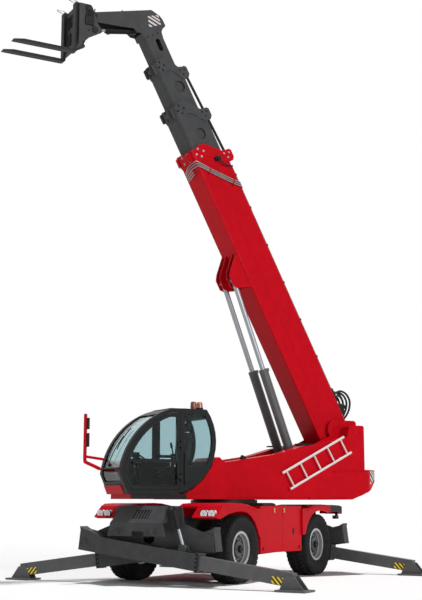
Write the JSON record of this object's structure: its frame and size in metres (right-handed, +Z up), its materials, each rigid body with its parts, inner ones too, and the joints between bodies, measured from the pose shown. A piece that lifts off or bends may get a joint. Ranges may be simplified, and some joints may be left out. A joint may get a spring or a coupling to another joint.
{
  "type": "rotating telehandler",
  "caption": "Self-propelled rotating telescopic handler with raised boom, pallet forks, side cab, steered wheels and spread outrigger legs.",
  "frame": {"origin": "on the ground under the middle of the overall box, about half a metre ahead of the slew axis", "axes": "+X chassis forward, +Y chassis left, +Z up; the upper structure stands turned 30 degrees to the right"},
  "size_m": [6.9942, 6.0642, 10.6661],
  "materials": {
    "red_paint": "gloss",
    "grey_paint": "satin",
    "black_paint": "satin",
    "cab_paint": "satin",
    "silver_paint": "satin",
    "rod_chrome": "polished",
    "tyre_rubber": "matte",
    "cab_glass": "clear",
    "seat_cloth": "matte",
    "black_plastic": "matte",
    "lamp_lens": "gloss",
    "amber_lens": "gloss",
    "white_paint": "satin",
    "fork_steel": "satin",
    "engine_iron": "matte"
  },
  "bodies": {
    "chassis": {"chassis_frame": "grey_paint", "axles": "black_paint", "engine": "engine_iron", "side_covers": "red_paint", "mudguards": "red_paint", "lamps": "lamp_lens", "outrigger_frames": "grey_paint", "slew_ring": "black_paint"},
    "turret": {"turret_frame": "red_paint", "counterweight": "red_paint", "ladder": "white_paint", "cab_base": "red_paint", "cab_shell": "cab_paint", "cab_side_left": "cab_paint", "cab_side_right": "cab_paint", "cab_glazing": "cab_glass", "seat": "seat_cloth", "console": "black_plastic", "mirrors": "red_paint", "beacon": "amber_lens"},
    "door": {"door_frame": "cab_paint", "door_glass": "cab_glass"},
    "lift_barrel": {"lift_barrels": "black_paint"},
    "lift_rod": {"lift_rods": "rod_chrome"},
    "boom": {"boom_base": "red_paint"},
    "boom_2": {"boom_mid_1": "grey_paint"},
    "boom_3": {"boom_mid_2": "grey_paint"},
    "boom_4": {"boom_head": "grey_paint"},
    "tilt_cylinder": {"tilt_barrel": "black_paint"},
    "tilt_ram": {"tilt_rod": "rod_chrome"},
    "fork_carriage": {"carriage": "grey_paint", "forks": "fork_steel"},
    "steer_fl": {"knuckle_fl": "black_paint"},
    "wheel_fl": {"rim_fl": "silver_paint", "tyre_fl": "tyre_rubber"},
    "steer_fr": {"knuckle_fr": "black_paint"},
    "wheel_fr": {"rim_fr": "silver_paint", "tyre_fr": "tyre_rubber"},
    "steer_rl": {"knuckle_rl": "black_paint"},
    "wheel_rl": {"rim_rl": "silver_paint", "tyre_rl": "tyre_rubber"},
    "steer_rr": {"knuckle_rr": "black_paint"},
    "wheel_rr": {"rim_rr": "silver_paint", "tyre_rr": "tyre_rubber"},
    "leg_fl": {"leg_outer_fl": "grey_paint"},
    "foot_fl": {"leg_inner_fl": "grey_paint"},
    "leg_cylinder_fl": {"leg_barrel_fl": "black_paint"},
    "leg_ram_fl": {"leg_rod_fl": "rod_chrome"},
    "leg_fr": {"leg_outer_fr": "grey_paint"},
    "foot_fr": {"leg_inner_fr": "grey_paint"},
    "leg_cylinder_fr": {"leg_barrel_fr": "black_paint"},
    "leg_ram_fr": {"leg_rod_fr": "rod_chrome"},
    "leg_rl": {"leg_outer_rl": "grey_paint"},
    "foot_rl": {"leg_inner_rl": "grey_paint"},
    "leg_cylinder_rl": {"leg_barrel_rl": "black_paint"},
    "leg_ram_rl": {"leg_rod_rl": "rod_chrome"},
    "leg_rr": {"leg_outer_rr": "grey_paint"},
    "foot_rr": {"leg_inner_rr": "grey_paint"},
    "leg_cylinder_rr": {"leg_barrel_rr": "black_paint"},
    "leg_ram_rr": {"leg_rod_rr": "rod_chrome"}
  },
  "joints": [
    {"name": "slew", "type": "hinge", "parent": "chassis", "child": "turret", "pos_m": [-0.54647, 0, 1.4], "axis": [0, 0, 1], "continuous": true},
    {"name": "steer_fl", "type": "hinge", "parent": "chassis", "child": "steer_fl", "pos_m": [0.91353, 0.9, 0.575], "axis": [0, 0, 1], "range_deg": [-28, 28]},
    {"name": "spin_fl", "type": "hinge", "parent": "steer_fl", "child": "wheel_fl", "pos_m": [0.91353, 1.015, 0.575], "axis": [0, 1, 0], "continuous": true},
    {"name": "steer_fr", "type": "hinge", "parent": "chassis", "child": "steer_fr", "pos_m": [0.91353, -0.9, 0.575], "axis": [0, 0, 1], "range_deg": [-28, 28]},
    {"name": "spin_fr", "type": "hinge", "parent": "steer_fr", "child": "wheel_fr", "pos_m": [0.91353, -1.015, 0.575], "axis": [0, 1, 0], "continuous": true},
    {"name": "steer_rl", "type": "hinge", "parent": "chassis", "child": "steer_rl", "pos_m": [-2.00647, 0.9, 0.575], "axis": [0, 0, 1], "range_deg": [-28, 28]},
    {"name": "spin_rl", "type": "hinge", "parent": "steer_rl", "child": "wheel_rl", "pos_m": [-2.00647, 1.015, 0.575], "axis": [0, 1, 0], "continuous": true},
    {"name": "steer_rr", "type": "hinge", "parent": "chassis", "child": "steer_rr", "pos_m": [-2.00647, -0.9, 0.575], "axis": [0, 0, 1], "range_deg": [-28, 28]},
    {"name": "spin_rr", "type": "hinge", "parent": "steer_rr", "child": "wheel_rr", "pos_m": [-2.00647, -1.015, 0.575], "axis": [0, 1, 0], "continuous": true},
    {"name": "boom_lift", "type": "hinge", "parent": "turret", "child": "boom", "pos_m": [-2.53833, 1.15, 2.75], "axis": [-0.5, -0.866, 0], "range_deg": [-64, 16]},
    {"name": "lift_swing", "type": "hinge", "parent": "turret", "child": "lift_barrel", "pos_m": [-1.86283, 0.76, 1.85], "axis": [-0.5, -0.866, 0], "range_deg": [-63.2, 16]},
    {"name": "lift_stroke", "type": "slide", "parent": "lift_barrel", "child": "lift_rod", "axis": [0.3086, -0.1781, 0.9344], "range_m": [-1.234, 0.316]},
    {"name": "extend_2", "type": "slide", "parent": "boom", "child": "boom_2", "axis": [0.4066, -0.2347, 0.8829], "range_m": [-0.6, 3.6]},
    {"name": "extend_3", "type": "slide", "parent": "boom_2", "child": "boom_3", "axis": [0.4066, -0.2347, 0.8829], "range_m": [-0.6, 3.6]},
    {"name": "extend_4", "type": "slide", "parent": "boom_3", "child": "boom_4", "axis": [0.4066, -0.2347, 0.8829], "range_m": [-0.45, 2.7]},
    {"name": "carriage_tilt", "type": "hinge", "parent": "boom_4", "child": "fork_carriage", "pos_m": [1.94765, -1.43998, 10.27044], "axis": [0.5, 0.866, 0], "range_deg": [-66, 35]},
    {"name": "tilt_swing", "type": "hinge", "parent": "boom_4", "child": "tilt_cylinder", "pos_m": [1.11107, -0.95698, 10.24944], "axis": [0.5, 0.866, 0], "range_deg": [-3, 2]},
    {"name": "tilt_stroke", "type": "slide", "parent": "tilt_cylinder", "child": "tilt_ram", "axis": [0.8507, -0.4911, -0.1874], "range_m": [-0.13, 0.23]},
    {"name": "door", "type": "hinge", "parent": "turret", "child": "door", "pos_m": [1.41154, 0.30137, 2.05], "axis": [0, 0, 1], "range_deg": [0, 100]},
    {"name": "leg_swing_fl", "type": "hinge", "parent": "chassis", "child": "leg_fl", "pos_m": [2.07353, -1.15, 0.68], "axis": [-1, 0, 0], "range_deg": [-6, 0]},
    {"name": "leg_slide_fl", "type": "slide", "parent": "leg_fl", "child": "foot_fl", "axis": [0, 0.9917, -0.1288], "range_m": [-1.3, 0]},
    {"name": "leg_cylinder_swing_fl", "type": "hinge", "parent": "chassis", "child": "leg_cylinder_fl", "pos_m": [2.07353, 0.56, 1.25], "axis": [-1, 0, 0], "range_deg": [-8, 0]},
    {"name": "leg_cylinder_stroke_fl", "type": "slide", "parent": "leg_cylinder_fl", "child": "leg_ram_fl", "axis": [0, 0.3122, -0.95], "range_m": [-0.2, 0]},
    {"name": "leg_swing_fr", "type": "hinge", "parent": "chassis", "child": "leg_fr", "pos_m": [1.83353, 1.15, 0.68], "axis": [1, 0, 0], "range_deg": [-6, 0]},
    {"name": "leg_slide_fr", "type": "slide", "parent": "leg_fr", "child": "foot_fr", "axis": [0, -0.9917, -0.1288], "range_m": [-1.3, 0]},
    {"name": "leg_cylinder_swing_fr", "type": "hinge", "parent": "chassis", "child": "leg_cylinder_fr", "pos_m": [1.83353, -0.56, 1.25], "axis": [1, 0, 0], "range_deg": [-8, 0]},
    {"name": "leg_cylinder_stroke_fr", "type": "slide", "parent": "leg_cylinder_fr", "child": "leg_ram_fr", "axis": [0, -0.3122, -0.95], "range_m": [-0.2, 0]},
    {"name": "leg_swing_rl", "type": "hinge", "parent": "chassis", "child": "leg_rl", "pos_m": [-2.92647, -1.15, 0.68], "axis": [-1, 0, 0], "range_deg": [-6, 0]},
    {"name": "leg_slide_rl", "type": "slide", "parent": "leg_rl", "child": "foot_rl", "axis": [0, 0.9917, -0.1288], "range_m": [-1.3, 0]},
    {"name": "leg_cylinder_swing_rl", "type": "hinge", "parent": "chassis", "child": "leg_cylinder_rl", "pos_m": [-2.92647, 0.56, 1.25], "axis": [-1, 0, 0], "range_deg": [-8, 0]},
    {"name": "leg_cylinder_stroke_rl", "type": "slide", "parent": "leg_cylinder_rl", "child": "leg_ram_rl", "axis": [0, 0.3122, -0.95], "range_m": [-0.2, 0]},
    {"name": "leg_swing_rr", "type": "hinge", "parent": "chassis", "child": "leg_rr", "pos_m": [-3.16647, 1.15, 0.68], "axis": [1, 0, 0], "range_deg": [-6, 0]},
    {"name": "leg_slide_rr", "type": "slide", "parent": "leg_rr", "child": "foot_rr", "axis": [0, -0.9917, -0.1288], "range_m": [-1.3, 0]},
    {"name": "leg_cylinder_swing_rr", "type": "hinge", "parent": "chassis", "child": "leg_cylinder_rr", "pos_m": [-3.16647, -0.56, 1.25], "axis": [1, 0, 0], "range_deg": [-8, 0]},
    {"name": "leg_cylinder_stroke_rr", "type": "slide", "parent": "leg_cylinder_rr", "child": "leg_ram_rr", "axis": [0, -0.3122, -0.95], "range_m": [-0.2, 0]}
  ],
  "couplings": [
    {"joint": "steer_fr", "follows": "steer_fl", "ratio": 1},
    {"joint": "steer_rr", "follows": "steer_rl", "ratio": 1},
    {"joint": "lift_swing", "follows": "boom_lift", "ratio": 0.985},
    {"joint": "lift_stroke", "follows": "boom_lift", "m_per_rad": 1.0959},
    {"joint": "extend_3", "follows": "extend_2", "ratio": 1},
    {"joint": "extend_4", "follows": "extend_2", "ratio": 0.75},
    {"joint": "tilt_swing", "follows": "carriage_tilt", "ratio": 0.02},
    {"joint": "tilt_stroke", "follows": "carriage_tilt", "m_per_rad": -0.18},
    {"joint": "leg_cylinder_swing_fl", "follows": "leg_swing_fl", "ratio": 1.1864},
    {"joint": "leg_cylinder_stroke_fl", "follows": "leg_swing_fl", "m_per_rad": 1.7988},
    {"joint": "leg_cylinder_swing_fr", "follows": "leg_swing_fr", "ratio": 1.1864},
    {"joint": "leg_cylinder_stroke_fr", "follows": "leg_swing_fr", "m_per_rad": 1.7988},
    {"joint": "leg_cylinder_swing_rl", "follows": "leg_swing_rl", "ratio": 1.1864},
    {"joint": "leg_cylinder_stroke_rl", "follows": "leg_swing_rl", "m_per_rad": 1.7988},
    {"joint": "leg_cylinder_swing_rr", "follows": "leg_swing_rr", "ratio": 1.1864},
    {"joint": "leg_cylinder_stroke_rr", "follows": "leg_swing_rr", "m_per_rad": 1.7988}
  ]
}
